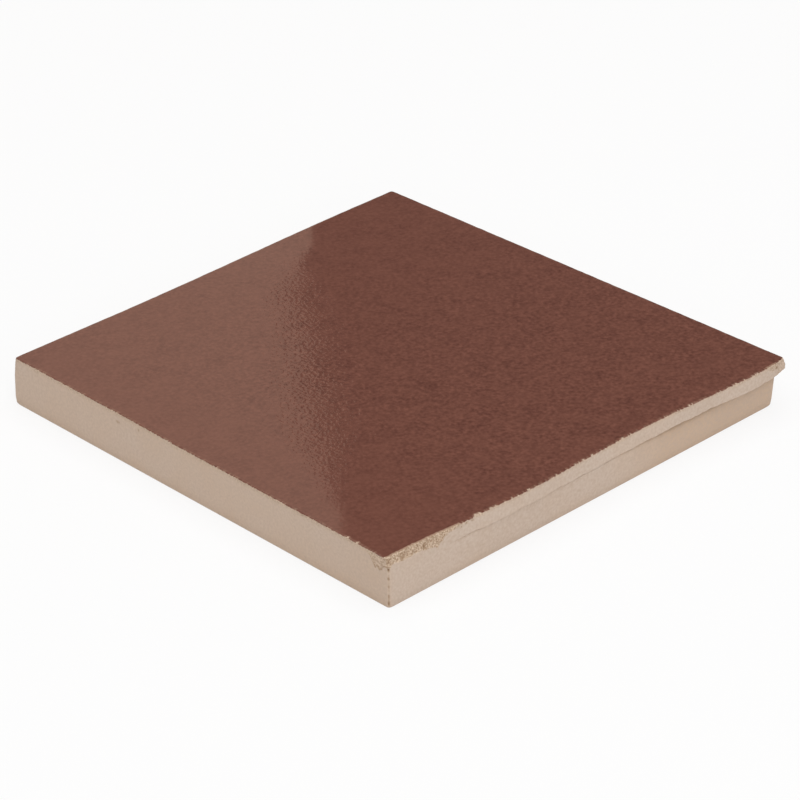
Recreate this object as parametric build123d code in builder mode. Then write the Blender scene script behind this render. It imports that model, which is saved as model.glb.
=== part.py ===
"""Pressed ceramic wall tile: one fired piece, lying on its keyed back with its glazed face up.

The origin is the centre of the back and +Z points out of the glazed face. Seen from above, +X is
east and +Y is north. The body is a true square. The top die left a lip around the glazed face, which
sits a little askew on the body: it stands out over the south and east sides and furthest over the
southeast corner, its underside runs back into the body at a slant, and its south edge is wavy.
"""
from build123d import *
import os

# Driving dimensions, mm
side = 100.0  # each side of the body, at the back
thickness = 9.85  # back to glazed face
lip_height = 2.8  # glazed face down to the lip's lower edge
lip_root = 0.25  # lip's lower edge down to where its underside meets the body
lip_flare = 0.25  # how much further out the lip's lower edge stands, on the south and east
south_lean = 0.3  # how far the south side of the body leans out on its way up
corner_radius = 0.5  # upright corners
arris_radius = 0.15  # rounded rim of the glazed face

# How far each corner of the glazed face stands from the body's square, as (east, north)
southwest_shift = (-0.1, 0.0)
southeast_shift = (1.7, -1.6)
northeast_shift = (-0.6, 0.95)
northwest_shift = (0.2, -0.25)

# The wave in the lip's south edge: places along the side, as shares of it from its middle, and how far
# the edge stands out of the body's square at each
wave_shares = (-0.36, -0.16, 0.11, 0.44)
wave_reaches = (0.05, 0.7, 0.1, 1.6)
corner_run = 3.0  # straight run of the south edge next to each corner

# The keyed back: shallow square pockets between ribs that all lie in one plane
key_rows = 4
key_rim = 8.0  # plain margin around the pockets
key_rib = 4.0  # width of the ribs
key_depth = 0.8
key_corner_radius = 1.5
key_taper = 25  # degrees that the pocket walls lean, to leave the die

half_side = side / 2
lip_edge_height = thickness - lip_height
root_height = lip_edge_height - lip_root
key_pitch = (side - 2 * key_rim + key_rib) / key_rows
key_pocket = key_pitch - key_rib


def square_corners(shifts):
    """Corners of the square in the order southwest, northwest, northeast, southeast, each shifted."""
    directions = ((-1, -1), (-1, 1), (1, 1), (1, -1))
    return [Vector(*way) * half_side + Vector(*shift) for way, shift in zip(directions, shifts)]


def outline(height, corners, south_points):
    """One level of the tile: three straight sides, and a south edge that runs through some points."""
    southwest, northwest, northeast, southeast = corners
    south_start = southwest + Vector(corner_run, 0)
    south_end = southeast - Vector(corner_run, 0)
    with BuildSketch(Plane.XY.offset(height)) as level:
        with BuildLine():
            FilletPolyline(south_start, *corners, south_end, radius=corner_radius)
            if south_points:
                Spline(south_start, *south_points, south_end, tangents=((1, 0), (1, 0)))
            else:
                Line(south_start, south_end)
        make_face()
    return level.sketch


def body_outline(height, lean):
    """The body's square, with its south side leaning out."""
    return outline(height, square_corners([(0, -lean), (0, 0), (0, 0), (0, -lean)]), [])


def lip_outline(height, flare):
    """The lip around the glazed face, flared out from the face's own outline on the south and east."""
    face_shifts = (southwest_shift, northwest_shift, northeast_shift, southeast_shift)
    flares = ((0, -flare), (0, 0), (flare, 0), (flare, -flare))
    shifts = [Vector(*shift) + Vector(*out) for shift, out in zip(face_shifts, flares)]
    places = zip(wave_shares, wave_reaches)
    wave = [Vector(share * side, -half_side - reach - flare) for share, reach in places]
    return outline(height, square_corners(shifts), wave)


levels = [
    body_outline(0, 0),
    body_outline(root_height, south_lean),
    lip_outline(lip_edge_height, lip_flare),
    lip_outline(thickness, 0),
]

with BuildPart() as tile:
    for lower, upper in zip(levels, levels[1:]):
        loft([lower, upper], ruled=True)
    glazed_face = tile.faces().sort_by(Axis.Z)[-1]
    fillet(glazed_face.edges(), arris_radius)
    with BuildSketch(Plane.XY):
        with GridLocations(key_pitch, key_pitch, key_rows, key_rows):
            RectangleRounded(key_pocket, key_pocket, key_corner_radius)
    extrude(amount=key_depth, taper=key_taper, mode=Mode.SUBTRACT)

tile.part.label = "tile"

os.makedirs("parts", exist_ok=True)
export_step(tile.part, "parts/tile.step")
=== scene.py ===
"""A pressed and glazed ceramic wall tile, lying on its back: the finished piece, its stage and its light.

Sizes are in millimetres and are turned to metres where they reach Blender. The frame is the CAD
model's: the origin is the centre of the back, +Z points out of the glazed face, and seen from above
+X is east and +Y is north. The tile is pressed as a plain block on a keyed back, then its lip is set
askew, its rim is worn and chipped, and last it gets its two finishes.
"""
import math

import bmesh
import bpy
import numpy as np
from mathutils import Matrix, Quaternion, Vector, noise


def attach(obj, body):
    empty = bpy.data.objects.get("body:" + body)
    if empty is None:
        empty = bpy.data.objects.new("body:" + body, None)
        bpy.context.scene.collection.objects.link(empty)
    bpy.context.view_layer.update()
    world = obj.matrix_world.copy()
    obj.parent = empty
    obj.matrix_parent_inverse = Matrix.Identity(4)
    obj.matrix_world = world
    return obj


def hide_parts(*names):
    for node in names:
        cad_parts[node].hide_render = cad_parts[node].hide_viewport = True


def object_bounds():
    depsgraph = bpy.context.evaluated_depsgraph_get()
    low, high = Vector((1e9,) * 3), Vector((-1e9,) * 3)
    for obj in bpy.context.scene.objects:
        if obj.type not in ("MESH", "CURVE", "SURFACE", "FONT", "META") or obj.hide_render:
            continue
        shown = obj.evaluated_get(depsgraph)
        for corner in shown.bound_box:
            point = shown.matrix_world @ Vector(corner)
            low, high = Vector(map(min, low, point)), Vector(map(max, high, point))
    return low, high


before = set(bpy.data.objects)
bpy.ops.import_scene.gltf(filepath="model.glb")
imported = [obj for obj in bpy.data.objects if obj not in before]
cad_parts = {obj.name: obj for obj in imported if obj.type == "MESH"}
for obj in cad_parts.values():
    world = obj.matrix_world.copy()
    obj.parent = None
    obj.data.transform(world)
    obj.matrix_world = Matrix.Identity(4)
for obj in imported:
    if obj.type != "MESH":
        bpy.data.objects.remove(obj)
cad_low, cad_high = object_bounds()

MM = 0.001
TOUCH = 0.01  # closer than this counts as touching

# The tile's sizes, as in the CAD model
SIDE = 100.0
HALF = SIDE / 2
THICKNESS = 9.85
LIP_HEIGHT = 2.8
LIP_ROOT = 0.25
SOUTH_LEAN = 0.3
CORNER_RADIUS = 0.5
ARRIS_RADIUS = 0.15
LIP_EDGE_HEIGHT = THICKNESS - LIP_HEIGHT
ROOT_HEIGHT = LIP_EDGE_HEIGHT - LIP_ROOT

# Finer shape: the rounded edge of the back, the lean of the east side, how far the north side bulges out
# beside its northwest corner, as (height, distance), and the waver of the lip's lower edge, as (size,
# height, seed)
BACK_ARRIS = 0.3
EAST_LEAN = 0.3
NORTHWEST_BULGE = ((0, 0.42), (6, 0.52), (8.8, 0.25), (9.85, 0.05))
LIP_WAVER = ((3.1, 0.18, 3.7), (0.9, 0.14, 5.7))

# Between which places along its side each of these comes in: the two leans, the step below the lip on
# the north side, and the bulge
SOUTH_LEAN_RUN = (-48, -30)
EAST_LEAN_RUN = (10, -45)
NORTH_STEP_RUN = (-10, 20)
BULGE_RUN = (-25, -50)

# How far each edge of the lip stands out of the true square: (place along the side, distance out)
SOUTH_FACE_EDGE = (
    (-50, 0.0), (-39, 0.05), (-34.5, 0.3), (-30, 0.3), (-16, 0.7), (11, 0.1), (46, 1.58), (50, 1.6))
SOUTH_LOWER_EDGE = (
    (-50, 0.0), (-36, 0.2), (-21, 0.88), (8, 0.5), (26, 0.66), (40, 1.72), (50, 1.5))
EAST_FACE_EDGE = ((-50, 1.7), (50, -0.59))
EAST_LOWER_EDGE = ((-50, 1.8), (50, -0.45))
NORTH_FACE_EDGE = ((-24, -0.2), (40, 0.95))
WEST_FACE_EDGE = ((-44, 0.1), (-38, 0.05), (2, 0.05), (20, -0.2))

# The crease below the lip, at places along the south side: how deep it is, how far down it reaches, and
# how far down and how strongly painted shade darkens it
CREASE_DEPTH = ((-40, 0), (-30, 0.12), (10, 0.12), (24, 0.3))
CREASE_REACH = ((10, 0.25), (24, 0.7))
CREASE_SHADE_REACH = ((8, 0.12), (22, 0.85))
CREASE_SHADE_SHARE = ((-38, 0), (-31, 0.26), (8, 0.26), (22, 0.46))

# Wear of the rim: how far it is nibbled back on each side, how far down that reaches, how far into the
# glazed face it moves the mesh, and how far down the two front sides are rubbed
SOUTH_WEAR = 0.13
WEST_WEAR = 0.09
BACK_SIDES_WEAR = 0.06
RIM_WEAR_DOWN = 0.5
RIM_WEAR_IN = 3.6
SOUTH_RUB = 0.75
WEST_RUB = 1.2

# How far in from a side a place still belongs to the side with its arris, or to the rim as a whole
SIDE_SKIN = 0.3
RIM_SKIN = 0.5

# Wear of the back's corners, by the way each one lies from the middle: how far each is rubbed off
FOOT_WEAR = {(1, -1): 0.22, (-1, 1): 0.3, (1, 1): 0.4, (-1, -1): 0.08}
FOOT_HEIGHT = 1.1
FOOT_REACH = 1.2

# The long chip on the south side of the southwest corner: how far the glaze is broken back, and how
# far down the chip reaches, at places along the side
CHIP_BACK = ((-50, 0.68), (-46, 0.58), (-43, 0.5), (-40, 0.3), (-36, 0.1), (-33.4, 0))
CHIP_DOWN = (
    (-50, 1.7), (-48.8, 1.3), (-45.5, 1.65), (-42.2, 1.5), (-40, 2.2), (-38.6, 2.6),
    (-37.6, 1.9), (-37, 1.1), (-36.2, 0.7), (-35, 0.6), (-34.2, 0.3), (-33.4, 0.1))
CHIP_END = -33.3
RIDGES_END = -34

# The flake beside it on the west side, with its upper edge below the glaze and painted shade along its
# lower edge
FLAKE_BACK = ((-50, 0.25), (-48.5, 0.2), (-45.2, 0))
FLAKE_DOWN = (
    (-50, 1.7), (-49.3, 2.0), (-48.3, 2.7), (-46.6, 2.8), (-45.9, 2.0), (-45.2, 0.9), (-44.9, 0.1))
FLAKE_TOP = 0.35
FLAKE_END = -45
FLAKE_BROKEN = 0.7
FLAKE_EDGE_SHADE = 0.45

# The broken southeast corner of the lip, with a crumbled patch and, beside it, the painted shade of a pit
# as a dark spot
CORNER_BACK = ((47.4, 0), (49, 0.4), (50, 0.62))
CORNER_DOWN = 1.9
CORNER_LIFT = 0.33
CORNER_REACH = 6
CORNER_IN = 1.1
CORNER_BROKEN = 0.46
PATCH_DOWN = ((44.6, 0.1), (45.2, 1.2), (46.5, 1.6), (50, 1.9))
PATCH_START = 44.5
PATCH_FADE = (48, 47.2)
PATCH_BROKEN = 0.65
PIT_PLACE = 47.2
PIT_DEPTH = 0.9
PIT_RADIUS = 0.28
PIT_SHADE = 0.9

# Small nicks in the sides: (side, place along it, depth of its middle, half width, half height, bite)
NICKS = (
    ("south", -29.4, 0.0, 0.5, 0.35, 0.35),
    ("south", -28.6, 0.0, 0.3, 0.3, 0.25),
    ("south", -30.4, 0.55, 0.22, 0.25, 0.2),
    ("south", -31.8, 0.5, 0.3, 0.22, 0.2),
    ("south", -33.0, 0.75, 0.25, 0.2, 0.15),
    ("west", -39.8, 0.0, 0.3, 0.3, 0.2),
    ("west", -42.2, 0.0, 0.25, 0.3, 0.2),
    ("west", 20.4, 1.9, 0.5, 0.3, 0.2),
    ("west", 14.8, 1.3, 0.4, 0.3, 0.2),
)
NICK_BROKEN = 0.6
NICK_GRIME = 0.4

# The front upright edge: how deep its raggedness bites east and north, and its dark dents, as (height,
# half height, strength)
UPRIGHT_BITE = (0.1, 0.25)
DENTS = ((7.8, 0.35, 0.9), (5.9, 0.3, 0.6), (4.3, 0.2, 0.25), (2.3, 0.4, 0.55), (0.9, 0.5, 0.75))

# The two sizes of crumb in the broken places, as (name, texture, size, height), and how broken a place
# has to be for crumbs
CRUMBS = (("crumbs", "VORONOI", 0.36, 0.22), ("grains", "CLOUDS", 0.16, 0.14))
LEAST_BROKEN = 0.02

# How far the glaze runs down over the rim, between which places on the west side it reaches down to the
# flake instead, how uneven it is on the front and the back sides, by how much a face may stand below its
# edge, and how much of a face has to be broken for its glaze to be gone
GLAZE_RUN = 0.13
GLAZE_TO_FLAKE = (-44, -47)
FRONT_UNEVEN = 0.16
BACK_UNEVEN = 0.04
GLAZE_SLACK = 0.05
GLAZE_GONE = 0.42

# The glaze: the sizes of its pattern and its relief, and its colours. It has a shallow hollow by its
# north rim, and a round patch where its orange peel is strongest.
FLECK_SIZE = 0.72
SPECK_SIZE = 1.5
CLOUD_SIZE = 5
SWELL_SIZE = 18
SWELL_DEPTH = 0.08
PEEL_SIZE = 0.7
PEEL_DEPTH = 0.02
PEEL_PLACE = (-14, 8)
PEEL_REACH = 60
HOLLOW_PLACE = (15, 57)
HOLLOW_REACH = 27
HOLLOW_DEPTH = 0.5
GLAZE_DARK = "5e362b"
GLAZE_PALE = "805143"
GLAZE_SPECK = "4c2821"
GLAZE_CLOUD = "7a4d3f"
GLAZE_THIN = "a98a74"

# The bare clay: the sizes of its pattern and its relief, and its colours
TONE_SIZE = 9
GRIT_SIZE = 0.5
GRIT_DEPTH = 0.03
CRUMB_SIZE = 0.3
CLAY_GREY = "cbb9aa"
CLAY_TAN = "c9af97"
CLAY_GRIT = "c0aa98"
CRUMB_DARK = "9c8168"
CRUMB_PALE = "d3bca6"
# A brown for the darkened places, partly painted shade below the lip, along the flake's edge and in the
# corner pit
GRIME_AND_SHADE_BROWN = "846544"

# The key in the back. While it is pressed, the plate is drawn in to the share KEY_FIELD of its width.
KEY_ROWS = 4
KEY_RIM = 8.0
KEY_RIB = 4.0
KEY_DEPTH = 0.8
KEY_TAPER = math.radians(25)
KEY_CORNER_RADIUS = 1.5
KEY_PITCH = (SIDE - 2 * KEY_RIM + KEY_RIB) / KEY_ROWS
KEY_POCKET = KEY_PITCH - KEY_RIB
KEY_FIELD = 1 - KEY_RIM / SIDE

# Mesh fineness: cuts and segments, and rings, which are given for the crease as distances below the
# lip's root, for the lip as depths below the glazed face, and for the face as distances in from its arris
SIDE_CUTS = 199
CHIP_CUTS = 2
RIM_CUTS = 2
UPRIGHT_CUTS = 7
CORNER_SEGMENTS = 6
KEY_CORNER_SEGMENTS = 4
BACK_ARRIS_RINGS = 2
BODY_RINGS = 4
CREASE_RINGS = (1.2, 0.8, 0.5, 0.3, 0.15, 0)
ROOT_RINGS = 2
LIP_RINGS = (2.8, 2.55, 2.3, 2.05, 1.8, 1.55, 1.3, 1.05, 0.8, 0.6, 0.42, 0.3, 0.22, 0.15)
ARRIS_RINGS = 3
FACE_RINGS = (0.2, 0.4, 0.65, 0.95, 1.4, 2.1, 3.5)

# Where the mesh is made finer for the chips: how far in from the sides, and between which places along
# them. The root's margin keeps this to the lip, and the upright edge's finer mesh to the body.
FINE_IN = 1.2
FINE_FRONT_END = -32.5
FINE_FLAKE_END = -44.8
FINE_CORNER_START = 44
FINE_EAST_END = -46
ROOT_MARGIN = 0.1

# The same for the worn rims and the front upright edge, where only edges over a certain length are cut
FINE_RIM_IN = 0.4
FINE_RIM_LENGTH = 0.2
FINE_UPRIGHT_IN = 0.9
FINE_UPRIGHT_LENGTH = 0.3


def to_linear(hex_colour):
    """A hex sRGB colour as the linear RGBA that a shader takes."""
    channels = [int(hex_colour[i:i + 2], 16) / 255 for i in (0, 2, 4)]
    return [c / 12.92 if c <= 0.04045 else ((c + 0.055) / 1.055) ** 2.4 for c in channels] + [1.0]


def add_node(tree, kind, inputs=None, **settings):
    """Add a node, set its properties, and set or link its inputs by name or number."""
    node = tree.nodes.new(kind)
    for name, value in settings.items():
        setattr(node, name, value)
    for name, value in (inputs or {}).items():
        if isinstance(value, bpy.types.NodeSocket):
            tree.links.new(value, node.inputs[name])
        else:
            node.inputs[name].default_value = value
    return node


def new_material(name):
    """An empty material with its output node."""
    material = bpy.data.materials.new(name)
    material.use_nodes = True
    material.node_tree.nodes.clear()
    return material, material.node_tree, add_node(material.node_tree, "ShaderNodeOutputMaterial")


def per_mm(size):
    """Texture scale that gives a pattern of about this size in millimetres."""
    return 1 / (size * MM)


def gloss_glaze():
    """Brown glaze, melted smooth in the kiln: a clear gloss with a faint orange peel, over flecked colour.

    The flecks are calmer toward the north and the west, and the glaze is thin and pale on the worn rim.
    """
    material, tree, output = new_material("brown_gloss_glaze")
    place = add_node(tree, "ShaderNodeTexCoord").outputs["Object"]
    thin = add_node(tree, "ShaderNodeAttribute", attribute_name="broken").outputs["Fac"]
    axes = add_node(tree, "ShaderNodeSeparateXYZ", {"Vector": place})
    northward = add_node(
        tree, "ShaderNodeMapRange",
        {"Value": axes.outputs["Y"], "From Min": -10 * MM, "From Max": 35 * MM,
         "To Min": 1.0, "To Max": 0.6})
    eastward = add_node(
        tree, "ShaderNodeMapRange",
        {"Value": axes.outputs["X"], "From Min": -42 * MM, "From Max": -12 * MM,
         "To Min": 0.5, "To Max": 1.0})
    liveliness = add_node(
        tree, "ShaderNodeMath",
        {0: northward.outputs["Result"], 1: eastward.outputs["Result"]}, operation="MINIMUM")
    fleck = add_node(
        tree, "ShaderNodeTexNoise", {"Vector": place, "Scale": per_mm(FLECK_SIZE), "Detail": 3.0})
    fleck_share = add_node(
        tree, "ShaderNodeMapRange",
        {"Value": fleck.outputs["Fac"], "From Min": 0.3, "From Max": 0.7})
    calmed = add_node(
        tree, "ShaderNodeMix", {0: liveliness.outputs[0], 2: 0.5, 3: fleck_share.outputs["Result"]})
    speck = add_node(
        tree, "ShaderNodeTexNoise", {"Vector": place, "Scale": per_mm(SPECK_SIZE), "Detail": 2.0})
    darkest = add_node(
        tree, "ShaderNodeMath", {0: liveliness.outputs[0], 1: 0.25}, operation="MULTIPLY")
    speck_share = add_node(
        tree, "ShaderNodeMapRange",
        {"Value": speck.outputs["Fac"], "From Min": 0.35, "From Max": 0.65, "To Max": darkest.outputs[0]})
    cloud = add_node(
        tree, "ShaderNodeTexNoise", {"Vector": place, "Scale": per_mm(CLOUD_SIZE), "Detail": 1.0})
    cloud_share = add_node(
        tree, "ShaderNodeMapRange",
        {"Value": cloud.outputs["Fac"], "From Min": 0.3, "From Max": 0.7, "To Max": 0.36})
    flecked = add_node(
        tree, "ShaderNodeMix",
        {0: calmed.outputs[0], 6: to_linear(GLAZE_DARK), 7: to_linear(GLAZE_PALE)}, data_type="RGBA")
    specked = add_node(
        tree, "ShaderNodeMix",
        {0: speck_share.outputs["Result"], 6: flecked.outputs[2], 7: to_linear(GLAZE_SPECK)},
        data_type="RGBA")
    clouded = add_node(
        tree, "ShaderNodeMix",
        {0: cloud_share.outputs["Result"], 6: specked.outputs[2], 7: to_linear(GLAZE_CLOUD)},
        data_type="RGBA")
    thinned = add_node(
        tree, "ShaderNodeMix", {0: thin, 6: clouded.outputs[2], 7: to_linear(GLAZE_THIN)},
        data_type="RGBA")
    around_hollow = add_node(
        tree, "ShaderNodeMapping",
        {"Vector": place, "Location": [c * MM for c in (*HOLLOW_PLACE, THICKNESS)],
         "Scale": [HOLLOW_REACH * MM] * 3}, vector_type="TEXTURE")
    hollow = add_node(
        tree, "ShaderNodeTexGradient", {"Vector": around_hollow.outputs["Vector"]},
        gradient_type="QUADRATIC_SPHERE")
    dished = add_node(
        tree, "ShaderNodeBump",
        {"Strength": 1.0, "Distance": HOLLOW_DEPTH * MM, "Height": hollow.outputs["Fac"]}, invert=True)
    swell = add_node(
        tree, "ShaderNodeTexNoise", {"Vector": place, "Scale": per_mm(SWELL_SIZE), "Detail": 1.0})
    bowed = add_node(
        tree, "ShaderNodeBump",
        {"Strength": 1.0, "Distance": SWELL_DEPTH * MM, "Height": swell.outputs["Fac"],
         "Normal": dished.outputs["Normal"]})
    around_peel = add_node(
        tree, "ShaderNodeMapping",
        {"Vector": place, "Location": [c * MM for c in (*PEEL_PLACE, THICKNESS)],
         "Scale": [PEEL_REACH * MM] * 3}, vector_type="TEXTURE")
    rough_patch = add_node(
        tree, "ShaderNodeTexGradient", {"Vector": around_peel.outputs["Vector"]},
        gradient_type="QUADRATIC_SPHERE")
    peel_share = add_node(
        tree, "ShaderNodeMapRange",
        {"Value": rough_patch.outputs["Fac"], "From Max": 0.3, "To Min": 0.06})
    peel = add_node(
        tree, "ShaderNodeTexNoise", {"Vector": place, "Scale": per_mm(PEEL_SIZE), "Detail": 1.0})
    peel_height = add_node(
        tree, "ShaderNodeMath",
        {0: peel.outputs["Fac"], 1: peel_share.outputs["Result"]}, operation="MULTIPLY")
    relief = add_node(
        tree, "ShaderNodeBump",
        {"Strength": 1.0, "Distance": PEEL_DEPTH * MM, "Height": peel_height.outputs[0],
         "Normal": bowed.outputs["Normal"]})
    surface = add_node(
        tree, "ShaderNodeBsdfPrincipled",
        {"Base Color": thinned.outputs[2], "Roughness": 0.045, "IOR": 1.5,
         "Normal": relief.outputs["Normal"]})
    tree.links.new(surface.outputs["BSDF"], output.inputs["Surface"])
    return material


def bare_body():
    """Unglazed fired clay: matt and chalky with a fine grit, grey-beige to tan as it stood in the kiln.

    It is tan below the lip toward the east, on the west side, at the foot and just under the rim. Where it
    is broken it shows yellower crumbs. One brown darkens the chips, the nicks and the ragged front edge,
    and is painted shade in the crease below the lip, along the flake's lower edge and in a pit by the
    southeast corner.
    """
    material, tree, output = new_material("bare_fired_clay")
    place = add_node(tree, "ShaderNodeTexCoord").outputs["Object"]
    axes = add_node(tree, "ShaderNodeSeparateXYZ", {"Vector": place})
    broken = add_node(tree, "ShaderNodeAttribute", attribute_name="broken").outputs["Fac"]
    grime_and_shade = add_node(tree, "ShaderNodeAttribute", attribute_name="grime_and_shade").outputs["Fac"]
    eastward = add_node(
        tree, "ShaderNodeMapRange",
        {"Value": axes.outputs["X"], "From Min": 5 * MM, "From Max": 24 * MM})
    under_lip = add_node(
        tree, "ShaderNodeMapRange",
        {"Value": axes.outputs["Z"], "From Min": LIP_EDGE_HEIGHT * MM, "From Max": ROOT_HEIGHT * MM})
    below_lip = add_node(
        tree, "ShaderNodeMath",
        {0: eastward.outputs["Result"], 1: under_lip.outputs["Result"]}, operation="MULTIPLY")
    westward = add_node(
        tree, "ShaderNodeMapRange",
        {"Value": axes.outputs["X"], "From Min": (1 - HALF) * MM, "From Max": -HALF * MM, "To Max": 0.5})
    sideways = add_node(
        tree, "ShaderNodeMath",
        {0: below_lip.outputs[0], 1: westward.outputs["Result"]}, operation="MAXIMUM")
    footward = add_node(
        tree, "ShaderNodeMapRange",
        {"Value": axes.outputs["Z"], "From Min": 2.5 * MM, "From Max": 0.0, "To Max": 0.3})
    rimward = add_node(
        tree, "ShaderNodeMapRange",
        {"Value": axes.outputs["Z"], "From Min": (THICKNESS - 0.8) * MM,
         "From Max": (THICKNESS - 0.1) * MM, "To Max": 0.55})
    edgeward = add_node(
        tree, "ShaderNodeMath",
        {0: footward.outputs["Result"], 1: rimward.outputs["Result"]}, operation="ADD")
    tan_place = add_node(
        tree, "ShaderNodeMath", {0: sideways.outputs[0], 1: edgeward.outputs[0]}, operation="ADD")
    tone = add_node(
        tree, "ShaderNodeTexNoise", {"Vector": place, "Scale": per_mm(TONE_SIZE), "Detail": 3.0})
    patch = add_node(
        tree, "ShaderNodeMapRange",
        {"Value": tone.outputs["Fac"], "From Min": 0.3, "From Max": 0.7, "To Min": -0.25, "To Max": 0.25})
    tan_share = add_node(
        tree, "ShaderNodeMath",
        {0: tan_place.outputs[0], 1: patch.outputs["Result"]}, operation="ADD", use_clamp=True)
    toned = add_node(
        tree, "ShaderNodeMix",
        {0: tan_share.outputs[0], 6: to_linear(CLAY_GREY), 7: to_linear(CLAY_TAN)}, data_type="RGBA")
    grit = add_node(
        tree, "ShaderNodeTexNoise", {"Vector": place, "Scale": per_mm(GRIT_SIZE), "Detail": 3.0})
    grit_share = add_node(
        tree, "ShaderNodeMapRange", {"Value": grit.outputs["Fac"], "From Min": 0.3, "From Max": 0.7})
    gritted = add_node(
        tree, "ShaderNodeMix",
        {0: grit_share.outputs["Result"], 6: toned.outputs[2], 7: to_linear(CLAY_GRIT)},
        data_type="RGBA")
    crumb = add_node(
        tree, "ShaderNodeTexNoise", {"Vector": place, "Scale": per_mm(CRUMB_SIZE), "Detail": 2.0})
    crumb_share = add_node(
        tree, "ShaderNodeMapRange",
        {"Value": crumb.outputs["Fac"], "From Min": 0.35, "From Max": 0.65})
    crumbled = add_node(
        tree, "ShaderNodeMix",
        {0: crumb_share.outputs["Result"], 6: to_linear(CRUMB_DARK), 7: to_linear(CRUMB_PALE)},
        data_type="RGBA")
    chipped = add_node(
        tree, "ShaderNodeMix",
        {0: broken, 6: gritted.outputs[2], 7: crumbled.outputs[2]}, data_type="RGBA")
    # This brown is partly painted shade: in the crease below the lip, along the flake's edge and in the
    # corner pit.
    colour = add_node(
        tree, "ShaderNodeMix", {0: grime_and_shade, 6: chipped.outputs[2], 7: to_linear(GRIME_AND_SHADE_BROWN)},
        data_type="RGBA")
    relief = add_node(
        tree, "ShaderNodeBump",
        {"Strength": 0.6, "Distance": GRIT_DEPTH * MM, "Height": grit.outputs["Fac"]})
    surface = add_node(
        tree, "ShaderNodeBsdfPrincipled",
        {"Base Color": colour.outputs[2], "Roughness": 0.9, "IOR": 1.5,
         "Normal": relief.outputs["Normal"]})
    tree.links.new(surface.outputs["BSDF"], output.inputs["Surface"])
    return material


def pick(kind, test):
    """In edit mode, select only the edges or faces that pass a test."""
    bpy.ops.mesh.select_mode(type={"edges": "EDGE", "faces": "FACE"}[kind])
    bpy.ops.mesh.select_all(action="DESELECT")
    shape = bmesh.from_edit_mesh(bpy.context.object.data)
    for item in getattr(shape, kind):
        if test(item):
            item.select_set(True)
    shape.select_flush_mode()
    bmesh.update_edit_mesh(bpy.context.object.data)


def add_ring(rise, size):
    """Extrude the selected rim upwards and size it around the middle of the tile."""
    bpy.ops.mesh.extrude_edges_move(TRANSFORM_OT_translate={"value": (0, 0, rise * MM)})
    bpy.ops.transform.resize(value=(size, size, 1), center_override=(0, 0, 0))


def add_arris(radius, rings, out, turn):
    """Round an edge with a few rings; turn is 1 for an edge that closes inwards and -1 outwards."""
    height = 0
    for ring in range(1, rings + 1):
        angle = math.radians(90) * ring / rings
        across, up = 1 - math.cos(angle), math.sin(angle)
        if turn < 0:
            across, up = -up, across
        next_out = HALF - radius * across if turn > 0 else HALF - radius - radius * across
        add_ring(radius * up - height, next_out / out)
        out, height = next_out, radius * up
    return out


def cut_plate():
    """A flat plate with rounded corners, as wide as the back, its sides divided finely.

    The south and west sides, which are worn the most, are divided once more.
    """
    bpy.ops.object.select_all(action="DESELECT")
    bpy.ops.mesh.primitive_plane_add(size=(SIDE - 2 * BACK_ARRIS) * MM)
    tile = bpy.context.object
    tile.name = "glazed_tile"
    bpy.ops.object.mode_set(mode="EDIT")
    bpy.ops.mesh.select_all(action="SELECT")
    bpy.ops.mesh.bevel(offset=CORNER_RADIUS * MM, segments=CORNER_SEGMENTS, affect="VERTICES")
    pick("edges", lambda edge: edge.calc_length() > HALF * MM)
    bpy.ops.mesh.subdivide(number_cuts=SIDE_CUTS)
    piece_length = SIDE / (SIDE_CUTS + 1)

    def on_worn_side(edge):
        beside = all(min(v.co.x, v.co.y) / MM < BACK_ARRIS + TOUCH - HALF for v in edge.verts)
        return beside and edge.calc_length() / MM > 0.8 * piece_length

    pick("edges", on_worn_side)
    bpy.ops.mesh.subdivide(number_cuts=1)
    return tile


def press_key():
    """Sink the key's pockets into the plate, with ribs between them and rounded corners."""
    bpy.ops.mesh.select_all(action="SELECT")
    bpy.ops.transform.resize(value=(KEY_FIELD, KEY_FIELD, 1), center_override=(0, 0, 0))
    starts = [(row - KEY_ROWS / 2) * KEY_PITCH + KEY_RIB / 2 for row in range(KEY_ROWS)]
    for place in [edge for start in starts for edge in (start, start + KEY_POCKET)]:
        for normal in ((1, 0, 0), (0, 1, 0)):
            bpy.ops.mesh.select_all(action="SELECT")
            bpy.ops.mesh.bisect(plane_co=[c * place * MM for c in normal], plane_no=normal)

    def is_pocket(face):
        return all(
            any(abs(middle - start - KEY_POCKET / 2) < KEY_RIB / 4 for start in starts)
            for middle in (face.calc_center_bounds() / MM).xy)

    pick("faces", is_pocket)
    bpy.ops.mesh.inset(
        thickness=KEY_DEPTH * math.tan(KEY_TAPER) * MM, depth=KEY_DEPTH * MM, use_individual=True)
    pick("edges", lambda edge: abs(edge.verts[0].co.z - edge.verts[1].co.z) > KEY_DEPTH * MM / 2)
    bpy.ops.mesh.bevel(offset=KEY_CORNER_RADIUS * MM, segments=KEY_CORNER_SEGMENTS, affect="EDGES")


def raise_sides():
    """Raise the sides ring by ring from the back's rim to the glazed face, and close the face."""
    pick("edges", lambda edge: edge.is_boundary)
    add_ring(0, 1 / KEY_FIELD)
    add_arris(BACK_ARRIS, BACK_ARRIS_RINGS, HALF - BACK_ARRIS, -1)
    for ring in range(BODY_RINGS):
        add_ring((ROOT_HEIGHT - CREASE_RINGS[0] - BACK_ARRIS) / BODY_RINGS, 1)
    for below, next_below in zip(CREASE_RINGS, CREASE_RINGS[1:]):
        add_ring(below - next_below, 1)
    for ring in range(ROOT_RINGS):
        add_ring(LIP_ROOT / ROOT_RINGS, 1)
    for depth, next_depth in zip(LIP_RINGS, LIP_RINGS[1:]):
        add_ring(depth - next_depth, 1)
    out = add_arris(ARRIS_RADIUS, ARRIS_RINGS, HALF, 1)
    for inset in FACE_RINGS:
        next_out = HALF - ARRIS_RADIUS - inset
        add_ring(0, next_out / out)
        out = next_out
    bpy.ops.mesh.edge_face_add()


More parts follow.
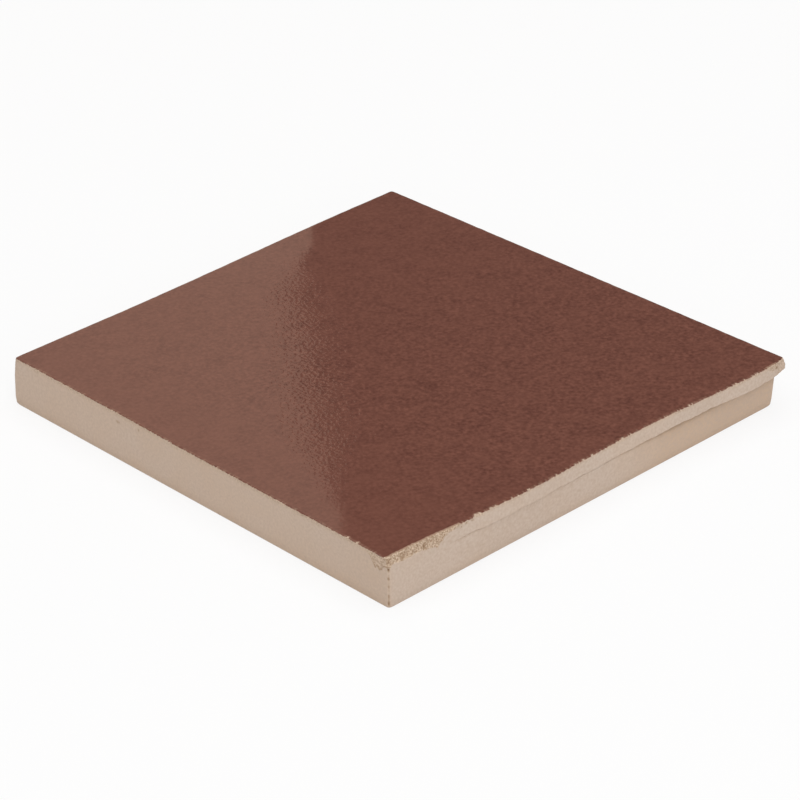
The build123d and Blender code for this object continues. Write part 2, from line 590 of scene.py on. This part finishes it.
def is_chipped(x, y, z):
    """Whether a place on the block lies in one of the three broken stretches of the lip."""
    edge = HALF - FINE_IN
    south = y < -edge and (x < FINE_FRONT_END or x > FINE_CORNER_START)
    west = x < -edge and y < FINE_FLAKE_END
    east = x > edge and y < FINE_EAST_END
    return z > ROOT_HEIGHT - ROOT_MARGIN and (south or west or east)


def is_along_worn_rim(edge):
    """Whether an edge runs along the south or west rim, outside the chips."""
    x, y, z = (edge.verts[0].co + edge.verts[1].co) / (2 * MM)
    run = (edge.verts[0].co - edge.verts[1].co) / MM
    on_rim = z > THICKNESS - RIM_WEAR_DOWN and min(x, y) < FINE_RIM_IN - HALF
    is_level = abs(run.z) < TOUCH and min(abs(run.x), abs(run.y)) < TOUCH
    return on_rim and not is_chipped(x, y, z) and is_level and run.length > FINE_RIM_LENGTH


def is_front_upright(edge):
    """Whether an edge runs up the southwest corner of the body."""
    low, high = sorted(v.co.z / MM for v in edge.verts)
    reach = max(v.co.xy.length_squared for v in edge.verts) ** 0.5 / MM
    beside = all(max(v.co.x, v.co.y) / MM < FINE_UPRIGHT_IN - HALF for v in edge.verts)
    is_long = high - low > FINE_UPRIGHT_LENGTH
    return beside and is_long and high < ROOT_HEIGHT + ROOT_MARGIN and reach > HALF


def refine_worn_places():
    """Divide the mesh more finely at the chips, along the two worn rims and on the front upright edge."""
    pick("faces", lambda face: is_chipped(*(face.calc_center_median() / MM)))
    bpy.ops.mesh.subdivide(number_cuts=CHIP_CUTS)
    pick("edges", is_along_worn_rim)
    bpy.ops.mesh.subdivide(number_cuts=RIM_CUTS)
    pick("edges", is_front_upright)
    bpy.ops.mesh.subdivide(number_cuts=UPRIGHT_CUTS)
    bpy.ops.mesh.select_all(action="SELECT")
    bpy.ops.mesh.normals_make_consistent(inside=False)
    bpy.ops.object.mode_set(mode="OBJECT")


def smooth(low, high, value):
    """0 at low, 1 at high, an S-curve between them, and held beyond; low may be the larger."""
    share = np.clip((value - low) / (high - low), 0, 1)
    return share * share * (3 - 2 * share)


def along(places, value):
    """Follow (place, distance) pairs with an S-curve from each to the next."""
    result = np.full_like(value, places[0][1])
    for (low, start), (high, end) in zip(places, places[1:]):
        result += (end - start) * smooth(low, high, value)
    return result


def straight(places, value):
    """Follow (place, distance) pairs in straight lines."""
    return np.interp(value, *zip(*places))


def ripple(value, size, seed):
    """Even random ripple between about -1 and 1 along a line, with bumps of this size."""
    return np.array([noise.noise((v / size, seed, 0.5)) for v in value])


def ripples(value, *waves):
    """Several ripples added up, each given as (size, height, seed)."""
    return sum(height * ripple(value, size, seed) for size, height, seed in waves)


def set_lip(block):
    """Shift the plain block's points, so that the lip sits askew on the body as it left the die."""
    x, y, z = block.T
    east = (x + HALF) / SIDE
    north = (y + HALF) / SIDE
    above_root = np.clip((z - ROOT_HEIGHT) / LIP_ROOT, 0, 1)
    up_lip = np.clip((z - LIP_EDGE_HEIGHT) / LIP_HEIGHT, 0, 1)
    up_body = np.clip(z / ROOT_HEIGHT, 0, 1)
    south_lip = along(SOUTH_LOWER_EDGE, x) * (1 - up_lip) + along(SOUTH_FACE_EDGE, x) * up_lip
    south_body = SOUTH_LEAN * up_body * smooth(*SOUTH_LEAN_RUN, x)
    south_out = south_body * (1 - above_root) + south_lip * above_root
    east_lip = straight(EAST_LOWER_EDGE, y) * (1 - up_lip) + straight(EAST_FACE_EDGE, y) * up_lip
    east_body = EAST_LEAN * up_body * smooth(*EAST_LEAN_RUN, y)
    east_out = east_body * (1 - above_root) + east_lip * above_root
    reach = np.where(z > ROOT_HEIGHT, LIP_ROOT, straight(CREASE_REACH, x))
    crease = straight(CREASE_DEPTH, x) * np.clip(1 - np.abs(z - ROOT_HEIGHT) / reach, 0, 1)
    south_out -= crease
    east_out -= crease
    stepped = smooth(*NORTH_STEP_RUN, x)
    north_rise = above_root * stepped + z / THICKNESS * (1 - stepped)
    bulge = straight(NORTHWEST_BULGE, z) * smooth(*BULGE_RUN, x)
    north_out = along(NORTH_FACE_EDGE, x) * north_rise + bulge
    west_out = along(WEST_FACE_EDGE, y) * z / THICKNESS
    lip_edge = np.clip(1 - np.abs(z - LIP_EDGE_HEIGHT) / (2 * LIP_ROOT), 0, 1)
    shift_x = east_out * east - west_out * (1 - east)
    shift_y = north_out * north - south_out * (1 - north)
    shift_z = lip_edge * ripples(x + y, *LIP_WAVER)
    return block + np.stack([shift_x, shift_y, shift_z], axis=1)


class Wear:
    """What handling did to the tile: how far each point moved, where it is broken, and where it is
    darkened brown, partly as painted shade.
    """

    def __init__(self, block):
        self.x, self.y, self.z = block.T
        self.depth = THICKNESS - self.z
        self.from_south = self.y + HALF
        self.from_west = self.x + HALF
        self.from_east = HALF - self.x
        self.from_north = HALF - self.y
        self.shift = np.zeros_like(block)
        self.broken = np.zeros(len(block))
        self.grime_and_shade = np.zeros(len(block))

    def mark_broken(self, share):
        self.broken = np.maximum(self.broken, share)

    def mark_grime_and_shade(self, share):
        self.grime_and_shade = np.maximum(self.grime_and_shade, share)


def near_rim(inside):
    """1 at a side, falling to 0 as far in as the rim's wear moves the face."""
    return np.clip(1 - inside / RIM_WEAR_IN, 0, 1)


def up_chip(depth, down):
    """1 at the glazed face, falling to 0 at a chip's lower edge."""
    return np.clip(1 - depth / np.maximum(down, TOUCH), 0, 1)


def wear_rim(wear):
    """Nibble the rim of the glazed face all round, and rub it bare and pale on the south and west."""
    sides = (
        (wear.x, wear.from_south, (0, 1, 0), SOUTH_WEAR, SOUTH_RUB),
        (wear.y, wear.from_east, (-1, 0, 0), BACK_SIDES_WEAR, None),
        (wear.x, wear.from_north, (0, -1, 0), BACK_SIDES_WEAR, None),
        (wear.y, wear.from_west, (1, 0, 0), WEST_WEAR, WEST_RUB),
    )
    share = np.clip(1 - wear.depth / RIM_WEAR_DOWN, 0, 1)
    for seed, (place, inside, way, depth, rub) in enumerate(sides):
        teeth = 0.45 + ripples(place, (0.3, 1.2, seed + 0.3), (0.8, 0.2, seed + 7.3))
        bites = 0.9 * np.clip(ripple(place, 2.3, seed + 13.3) - 0.4, 0, 1)
        worn = np.clip(teeth + bites, 0, 1.6)
        wear.shift += (depth * worn * share * near_rim(inside))[:, None] * np.array(way)
        bare = 0.65 * np.clip(worn - 0.2, 0, 1) * share * smooth(0.6, 0.1, inside)
        wear.mark_broken(bare * depth / SOUTH_WEAR)
        if rub:
            patchy = np.clip(0.7 + 0.6 * ripple(place, 1.4, seed + 19.3), 0.15, 1)
            rubbed = smooth(rub, 0.1, wear.depth) * patchy * (wear.depth > 0.1)
            wear.mark_broken(0.75 * rubbed * (inside < SIDE_SKIN))


def chip_front(wear):
    """Break the long chip out of the south side at the southwest corner."""
    x, depth = wear.x, wear.depth
    down = straight(CHIP_DOWN, x) * (1 + ripples(x, (0.9, 0.16, 31.3), (0.4, 0.14, 37.3)))
    share = up_chip(depth, down)
    ridges = 0.3 * ripple(x + 0.2 * depth, 0.6, 33.3) + 0.2 * ripple(x - 0.1 * depth, 0.3, 35.3)
    bitten = straight(CHIP_BACK, x) * (1 + 0.35 * ripple(x, 0.7, 39.3))
    back = bitten * share + ridges * np.minimum(4 * share * (1 - share), 1) * (x < RIDGES_END)
    wear.shift[:, 1] += back * near_rim(wear.from_south)
    on_south = (x < CHIP_END) * (wear.from_south < RIM_SKIN)
    wear.mark_broken(smooth(0, 0.1, share) * on_south)
    pits = ripple(x + 0.15 * depth, 0.5, 45.3) + 0.8 * ripple(x + depth, 0.45, 47.3)
    below_rim = smooth(0, 0.3, share) * smooth(0.1, 0.4, depth)
    wear.mark_grime_and_shade(np.clip(pits - 0.2, 0, 1) * below_rim * on_south)


def flake_west(wear):
    """Break the flake out of the west side at the southwest corner, with painted shade along its lower
    edge.
    """
    y, depth = wear.y, wear.depth
    down = straight(FLAKE_DOWN, y) * (1 + ripples(y, (0.8, 0.2, 41.3), (0.35, 0.15, 43.3)))
    share = up_chip(depth, down)
    hollow = smooth(0, 0.25, share) * smooth(0.05, 0.6, depth)
    wear.shift[:, 0] += straight(FLAKE_BACK, y) * hollow * near_rim(wear.from_west)
    on_west = (y < FLAKE_END) * (wear.from_west < RIM_SKIN)
    below_glaze = smooth(FLAKE_TOP - 0.15, FLAKE_TOP, depth)
    wear.mark_broken(FLAKE_BROKEN * smooth(0, 0.1, share) * below_glaze * on_west)
    # Painted shade: a brown line along the flake's lower edge, where its step would shade the body
    wear.mark_grime_and_shade(FLAKE_EDGE_SHADE * smooth(0, 0.06, share) * smooth(0.2, 0.08, share) * on_west)


def chip_corner(wear):
    """Break the tip off the southeast corner of the lip, which leaves a slanting face."""
    x, depth = wear.x, wear.depth
    wear.shift[:, 1] += straight(CORNER_BACK, x) * up_chip(depth, CORNER_DOWN) * near_rim(wear.from_south)
    tip = np.clip(1 - np.hypot(wear.from_east, wear.from_south) / CORNER_REACH, 0, 1)
    beside = np.minimum(wear.from_east, wear.from_south) < CORNER_IN
    on_lip = (wear.z > ROOT_HEIGHT + TOUCH) & beside
    wear.shift[:, 2] += depth * CORNER_LIFT * tip ** 2 * on_lip
    wear.mark_broken(CORNER_BROKEN * smooth(0.45, 0.65, tip) * on_lip * (depth > TOUCH))
    on_south = wear.from_south < RIM_SKIN
    down = straight(PATCH_DOWN, x) * (1 + 0.5 * ripple(x, 0.5, 49.3))
    crumbs = smooth(0, 0.3, down - depth) * smooth(*PATCH_FADE, x) * (x > PATCH_START)
    wear.mark_broken(PATCH_BROKEN * crumbs * on_south)
    # Painted shade: a dark spot stands for a shaded pit, and the mesh has no hollow there
    away = np.hypot(x - PIT_PLACE, depth - PIT_DEPTH)
    wear.mark_grime_and_shade(PIT_SHADE * np.exp(-(away / PIT_RADIUS) ** 2) * on_south)


def nick_sides(wear):
    """Pit the sides and notch the rim in a few small places."""
    sides = {"south": (wear.x, wear.from_south, 1), "west": (wear.y, wear.from_west, 0)}
    for side, middle, deep, half_width, half_height, bite in NICKS:
        place, inside, axis = sides[side]
        away = np.hypot((place - middle) / half_width, (wear.depth - deep) / half_height)
        pit = np.exp(-away ** 2)
        wear.shift[:, axis] += bite * pit * near_rim(inside)
        wear.mark_broken(NICK_BROKEN * smooth(0.25, 0.6, pit) * (inside < RIM_SKIN))
        if deep > 0:
            wear.mark_grime_and_shade(NICK_GRIME * smooth(0.4, 0.9, pit) * (inside < RIM_SKIN))


def rub_front_upright(wear):
    """Rub the front upright edge ragged, and darken it brown as deep as it is bitten, most in its dents.
    """
    beside = np.hypot(wear.from_west, wear.from_south)
    on_edge = smooth(0.36, 0.2, beside) * smooth(1.7, 2.1, wear.depth)
    ragged = 0.2 + 0.25 * ripple(wear.z, 0.5, 67.3)
    for height, half_height, strength in DENTS:
        ragged += strength * np.exp(-((wear.z - height) / half_height) ** 2)
    bite = on_edge * np.clip(ragged, 0.05, 1)
    for axis, depth in enumerate(UPRIGHT_BITE):
        wear.shift[:, axis] += depth * bite
    wear.mark_grime_and_shade(bite)


def shade_crease_below_lip(wear):
    """Paint shade into the crease below the lip on the south and east sides, in brown that fades downward.
    """
    below = np.clip(ROOT_HEIGHT - wear.z, 0, None)
    above = np.clip((wear.z - ROOT_HEIGHT) / LIP_ROOT, 0, 1)
    ragged = 1 + 0.5 * ripple(wear.x + wear.y, 1.6, 71.3)
    crease_shade = np.exp(-below / straight(CREASE_SHADE_REACH, wear.x)) * (1 - above) * ragged
    on_side = np.minimum(wear.from_south, wear.from_east) < SIDE_SKIN
    # Painted shade: brown in the crease and just below it, stronger and reaching further toward the east
    wear.mark_grime_and_shade(np.clip(crease_shade * straight(CREASE_SHADE_SHARE, wear.x), 0, 1) * on_side)


def rub_feet(wear):
    """Round the corners of the back, which rub off first."""
    low = np.clip(1 - wear.z / FOOT_HEIGHT, 0, 1) ** 2
    near_x = np.clip(1 - (HALF - np.abs(wear.x)) / FOOT_REACH, 0, 1)
    near_y = np.clip(1 - (HALF - np.abs(wear.y)) / FOOT_REACH, 0, 1)
    for (way_x, way_y), depth in FOOT_WEAR.items():
        here = (wear.x * way_x > 0) & (wear.y * way_y > 0)
        worn = depth * low * near_x * near_y * here
        wear.shift[:, 0] -= way_x * worn
        wear.shift[:, 1] -= way_y * worn


def crumble(tile, broken):
    """Roughen the broken places with two sizes of crumb."""
    group = tile.vertex_groups.new(name="broken_rim")
    for index in np.nonzero(broken > LEAST_BROKEN)[0]:
        group.add([int(index)], float(broken[index]), "REPLACE")
    for name, kind, size, height in CRUMBS:
        texture = bpy.data.textures.new(name, kind)
        texture.noise_scale = size * MM
        rough = tile.modifiers.new(name, "DISPLACE")
        rough.texture = texture
        rough.texture_coords = "LOCAL"
        rough.vertex_group = group.name
        rough.strength = height * MM
        rough.mid_level = 0.6
        bpy.ops.object.modifier_apply(modifier=name)
    tile.vertex_groups.clear()


def read_points(mesh):
    """The mesh's points in millimetres."""
    points = np.zeros(len(mesh.vertices) * 3)
    mesh.vertices.foreach_get("co", points)
    return points.reshape(-1, 3) / MM


def write_points(mesh, points):
    """Move the mesh's points to these places in millimetres."""
    mesh.vertices.foreach_set("co", (points * MM).ravel())
    mesh.update()


def glaze_faces(mesh, wear):
    """Glaze the face and the rim, down to an uneven edge, and leave worn faces bare."""
    on_front = np.minimum(wear.from_west, wear.from_south) < RIM_SKIN
    uneven = np.where(on_front, FRONT_UNEVEN, BACK_UNEVEN)
    run = GLAZE_RUN + uneven * ripple(wear.x + wear.y, 0.26, 51.3)
    run += (FLAKE_TOP - GLAZE_RUN) * smooth(*GLAZE_TO_FLAKE, wear.y) * (wear.from_west < SIDE_SKIN)
    for face in mesh.polygons:
        corners = list(face.vertices)
        deepest = wear.depth[corners].max()
        worn = wear.broken[corners].mean() > GLAZE_GONE and deepest > TOUCH
        face.material_index = 1 if deepest < run[corners[0]] + GLAZE_SLACK and not worn else 0


def finish_tile(tile, glaze, body):
    """Shape the block, wear it, keep it inside the CAD part's box, and give its faces their finish."""
    mesh = tile.data
    block = read_points(mesh)
    wear = Wear(block)
    for step in (
            wear_rim, chip_front, flake_west, chip_corner, nick_sides, rub_front_upright, shade_crease_below_lip,
            rub_feet):
        step(wear)
    write_points(mesh, set_lip(block) + wear.shift)
    bpy.ops.object.select_all(action="DESELECT")
    tile.select_set(True)
    bpy.context.view_layer.objects.active = tile
    crumble(tile, wear.broken * smooth(0.05, 0.35, wear.depth))
    write_points(mesh, np.clip(read_points(mesh), np.array(cad_low) / MM, np.array(cad_high) / MM))
    for name, values in (("broken", wear.broken), ("grime_and_shade", wear.grime_and_shade)):
        mesh.attributes.new(name, "FLOAT", "POINT").data.foreach_set("value", values)
    mesh.materials.append(body)
    mesh.materials.append(glaze)
    glaze_faces(mesh, wear)
    bpy.ops.object.shade_smooth_by_angle(angle=math.radians(30))


def make_tile():
    """Model the tile and put it in the CAD part's place."""
    tile = cut_plate()
    press_key()
    raise_sides()
    refine_worn_places()
    finish_tile(tile, gloss_glaze(), bare_body())
    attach(tile, "root")
    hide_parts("tile")


def white_floor():
    """Matt white studio paper. It shows nearly white and keeps the tile's soft shadow."""
    material, tree, output = new_material("white_studio_paper")
    paper = add_node(tree, "ShaderNodeBsdfDiffuse", {"Color": to_linear("f4f4f4")})
    glow = add_node(tree, "ShaderNodeEmission", {"Color": to_linear("ffffff"), "Strength": 1.0})
    path = add_node(tree, "ShaderNodeLightPath")
    seen = add_node(
        tree, "ShaderNodeMath",
        {0: path.outputs["Is Camera Ray"], 1: path.outputs["Is Glossy Ray"]}, operation="ADD")
    seen_through = add_node(
        tree, "ShaderNodeMath",
        {0: seen.outputs[0], 1: path.outputs["Is Transmission Ray"]}, operation="ADD", use_clamp=True)
    share = add_node(tree, "ShaderNodeMath", {0: seen_through.outputs[0], 1: 0.8}, operation="MULTIPLY")
    mixed = add_node(
        tree, "ShaderNodeMixShader",
        {0: share.outputs[0], 1: paper.outputs["BSDF"], 2: glow.outputs["Emission"]})
    tree.links.new(mixed.outputs["Shader"], output.inputs["Surface"])
    return material


def add_floor():
    """A wide floor under the tile."""
    bpy.ops.object.select_all(action="DESELECT")
    bpy.ops.mesh.primitive_plane_add(size=40)
    floor = bpy.context.object
    floor.name = "studio_floor"
    floor.data.materials.append(white_floor())


def add_softbox(name, place, aim, size, radiance, colour="ffffff", roll=0, mirrored=False):
    """A rectangular softbox that faces a point, in metres; only a mirrored one shows in the glaze."""
    width, height = size
    lamp = bpy.data.lights.new(name, "AREA")
    lamp.shape = "RECTANGLE"
    lamp.size = width
    lamp.size_y = height
    lamp.energy = radiance * math.pi * width * height
    lamp.color = to_linear(colour)[:3]
    box = bpy.data.objects.new(name, lamp)
    bpy.context.scene.collection.objects.link(box)
    box.location = place
    facing = (Vector(aim) - Vector(place)).to_track_quat("-Z", "Y")
    box.rotation_mode = "QUATERNION"
    box.rotation_quaternion = facing @ Quaternion((0, 0, 1), math.radians(roll))
    box.visible_camera = False
    box.visible_glossy = mirrored


def add_light():
    """Soft studio light: overhead, from the camera's side, and four panels that shine in the glaze.

    There is one panel to each side, so that the gloss shows from wherever the tile is seen.
    """
    world = bpy.data.worlds.new("studio")
    bpy.context.scene.world = world
    world.use_nodes = True
    background = world.node_tree.nodes["Background"]
    background.inputs["Color"].default_value = to_linear("ffffff")
    background.inputs["Strength"].default_value = 0.12
    middle = (0, 0, 0)
    add_softbox("overhead_softbox", (0, 0, 1.2), middle, size=(1.6, 1.6), radiance=1.49)
    add_softbox("front_softbox", (-0.82, -1.23, 0.9), middle, size=(1.4, 1.4), radiance=2.05)
    for turn, colour in ((0, "ffdfc7"), (90, "ffffff"), (180, "ffffff"), (270, "ffffff")):
        turned = Matrix.Rotation(math.radians(turn), 3, "Z")
        place = turned @ Vector((0.2486, 0.7382, 0.42))
        aim = turned @ Vector((-0.2414, 0.2382, 0.07))
        add_softbox(
            f"sheen_panel_{turn}", place, aim, size=(0.6, 0.8), radiance=0.58, colour=colour, roll=10,
            mirrored=True)


def add_camera():
    """The photograph's view: a long lens, from the southwest corner and above."""
    azimuth = math.radians(-44.377)
    elevation = math.radians(29.402)
    roll = math.radians(-0.202)
    aim = Vector((1.992, 0.337, 0)) * MM
    distance = 660.36 * MM
    lens = bpy.data.cameras.new("photo_camera")
    lens.sensor_width = 36
    lens.lens = 158.38
    camera = bpy.data.objects.new("photo_camera", lens)
    bpy.context.scene.collection.objects.link(camera)
    flat = math.cos(elevation)
    back = Vector((math.sin(azimuth) * flat, -math.cos(azimuth) * flat, math.sin(elevation)))
    camera.location = aim + back * distance
    camera.rotation_mode = "QUATERNION"
    camera.rotation_quaternion = back.to_track_quat("Z", "Y") @ Quaternion((0, 0, 1), roll)
    bpy.context.scene.camera = camera


make_tile()
add_floor()
add_light()
add_camera()
bpy.context.scene.view_settings.view_transform = "Standard"
